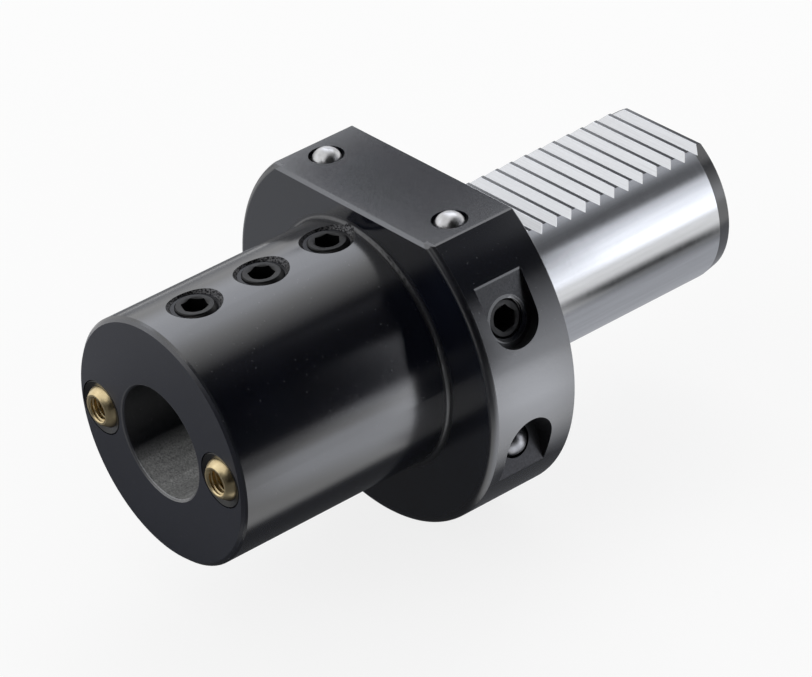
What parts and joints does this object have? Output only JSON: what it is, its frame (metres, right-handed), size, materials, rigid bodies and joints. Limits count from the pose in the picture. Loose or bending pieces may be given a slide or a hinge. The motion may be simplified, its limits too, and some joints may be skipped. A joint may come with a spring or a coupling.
{
  "type": "boring bar holder with toothed round shank",
  "caption": "Tool holder with a clamped bore in a round head, a flange with a flat and side ports, swivelling coolant nozzles and a round shank with rack teeth.",
  "frame": {"origin": "on the common axis of the bore and the shank, in the plane of the flange's contact face", "axes": "+Y along the shank, away from the head; +Z out of the flange's flat and the rack's teeth; +X to the side with the milled rim pockets; the bar goes in at -Y"},
  "size_m": [0.083, 0.1393, 0.0756],
  "materials": {
    "black_oxide_steel": "black oxide, satin, with a bright ground shank",
    "screw_steel": "black oxide, satin",
    "nozzle_brass": "turned, bright",
    "seal_rubber": "smooth, matte",
    "ball_steel": "ground and polished"
  },
  "bodies": {
    "holder": {"holder_body": "black_oxide_steel", "side_plug_screw": "screw_steel", "nozzle_ring_left": "screw_steel", "nozzle_ring_right": "screw_steel", "nozzle_seal_left": "seal_rubber", "nozzle_seal_right": "seal_rubber", "flat_sealing_ball_left": "ball_steel", "flat_sealing_ball_right": "ball_steel", "side_sealing_ball": "ball_steel", "shank_seal_ring": "seal_rubber"},
    "front_clamp": {"clamp_screw_front": "screw_steel"},
    "middle_clamp": {"clamp_screw_middle": "screw_steel"},
    "rear_clamp": {"clamp_screw_rear": "screw_steel"},
    "stop": {"stop_screw": "screw_steel"},
    "left_nozzle": {"nozzle_ball_left": "nozzle_brass"},
    "right_nozzle": {"nozzle_ball_right": "nozzle_brass"}
  },
  "joints": [
    {"name": "front_clamp_travel", "type": "slide", "parent": "holder", "child": "front_clamp", "axis": [0, 0, 1], "range_m": [-0.0015, 0.006]},
    {"name": "middle_clamp_travel", "type": "slide", "parent": "holder", "child": "middle_clamp", "axis": [0, 0, 1], "range_m": [-0.0015, 0.006]},
    {"name": "rear_clamp_travel", "type": "slide", "parent": "holder", "child": "rear_clamp", "axis": [0, 0, 1], "range_m": [-0.0015, 0.006]},
    {"name": "stop_travel", "type": "slide", "parent": "holder", "child": "stop", "axis": [0, 1, 0], "range_m": [-0.018, 0.014]},
    {"name": "left_nozzle_swivel", "type": "hinge", "parent": "holder", "child": "left_nozzle", "pos_m": [-0.02, -0.0725, 0], "axis": [0, 0, 1], "range_deg": [-20, 20]},
    {"name": "right_nozzle_swivel", "type": "hinge", "parent": "holder", "child": "right_nozzle", "pos_m": [0.02, -0.0725, 0], "axis": [0, 0, 1], "range_deg": [-20, 20]}
  ]
}
